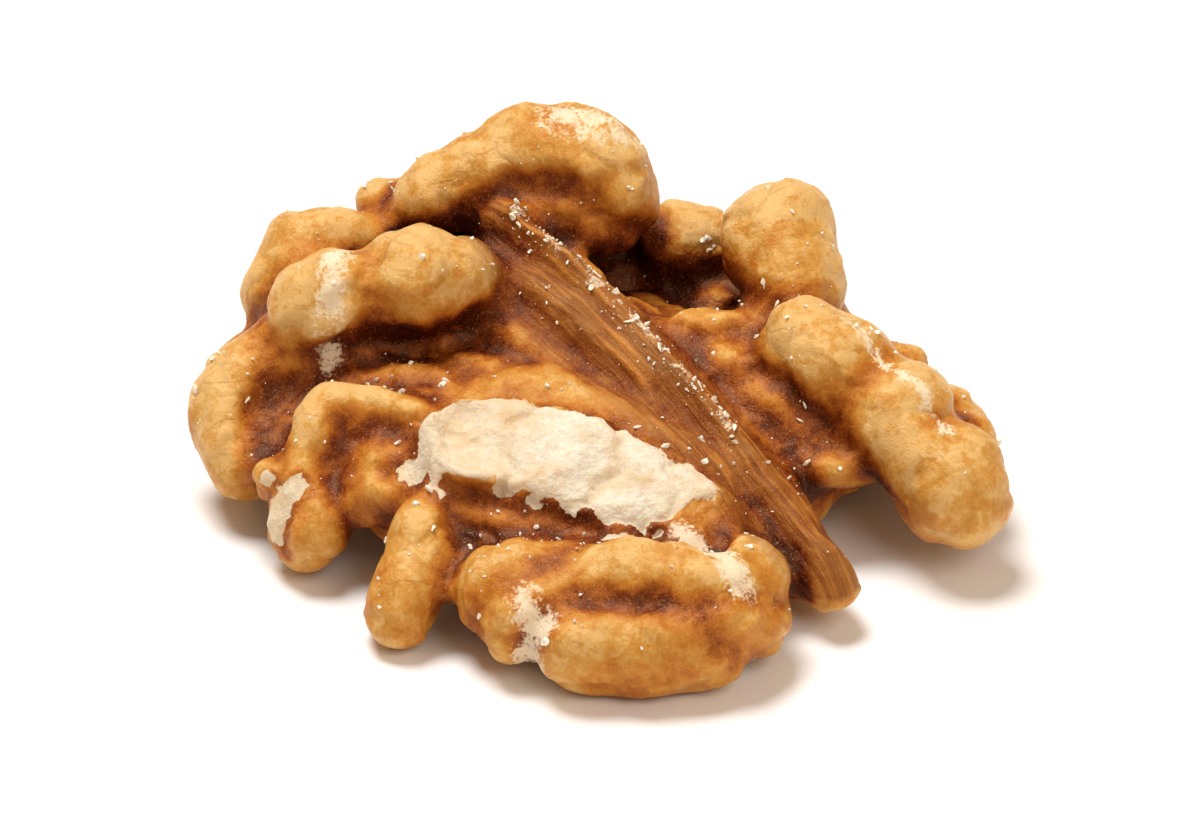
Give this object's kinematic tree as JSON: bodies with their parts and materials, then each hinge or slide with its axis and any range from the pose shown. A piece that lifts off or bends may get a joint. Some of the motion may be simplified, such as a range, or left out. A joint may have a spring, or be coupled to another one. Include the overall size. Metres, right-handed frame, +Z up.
{
  "type": "shelled walnut kernel half",
  "caption": "Half of a shelled walnut kernel lying on its rounded back, with a straight ridge across its inner face, rounded folds in two wings and a pale broken fold.",
  "frame": {"origin": "on the surface that the kernel rests on, below the middle of its bounding box", "axes": "+X along the longest extent, from the front wing's outer end to the back wing's; +Y from the front wing to the back; +Z up, out of the inner face, along the shortest extent"},
  "size_m": [0.0302, 0.0268, 0.0116],
  "materials": {
    "kernel": "thin golden-brown seed coat with a soft gloss, darker in the valleys, and chalky cream where it is broken"
  },
  "bodies": {
    "root": {"walnut_kernel": "kernel"}
  },
  "joints": []
}
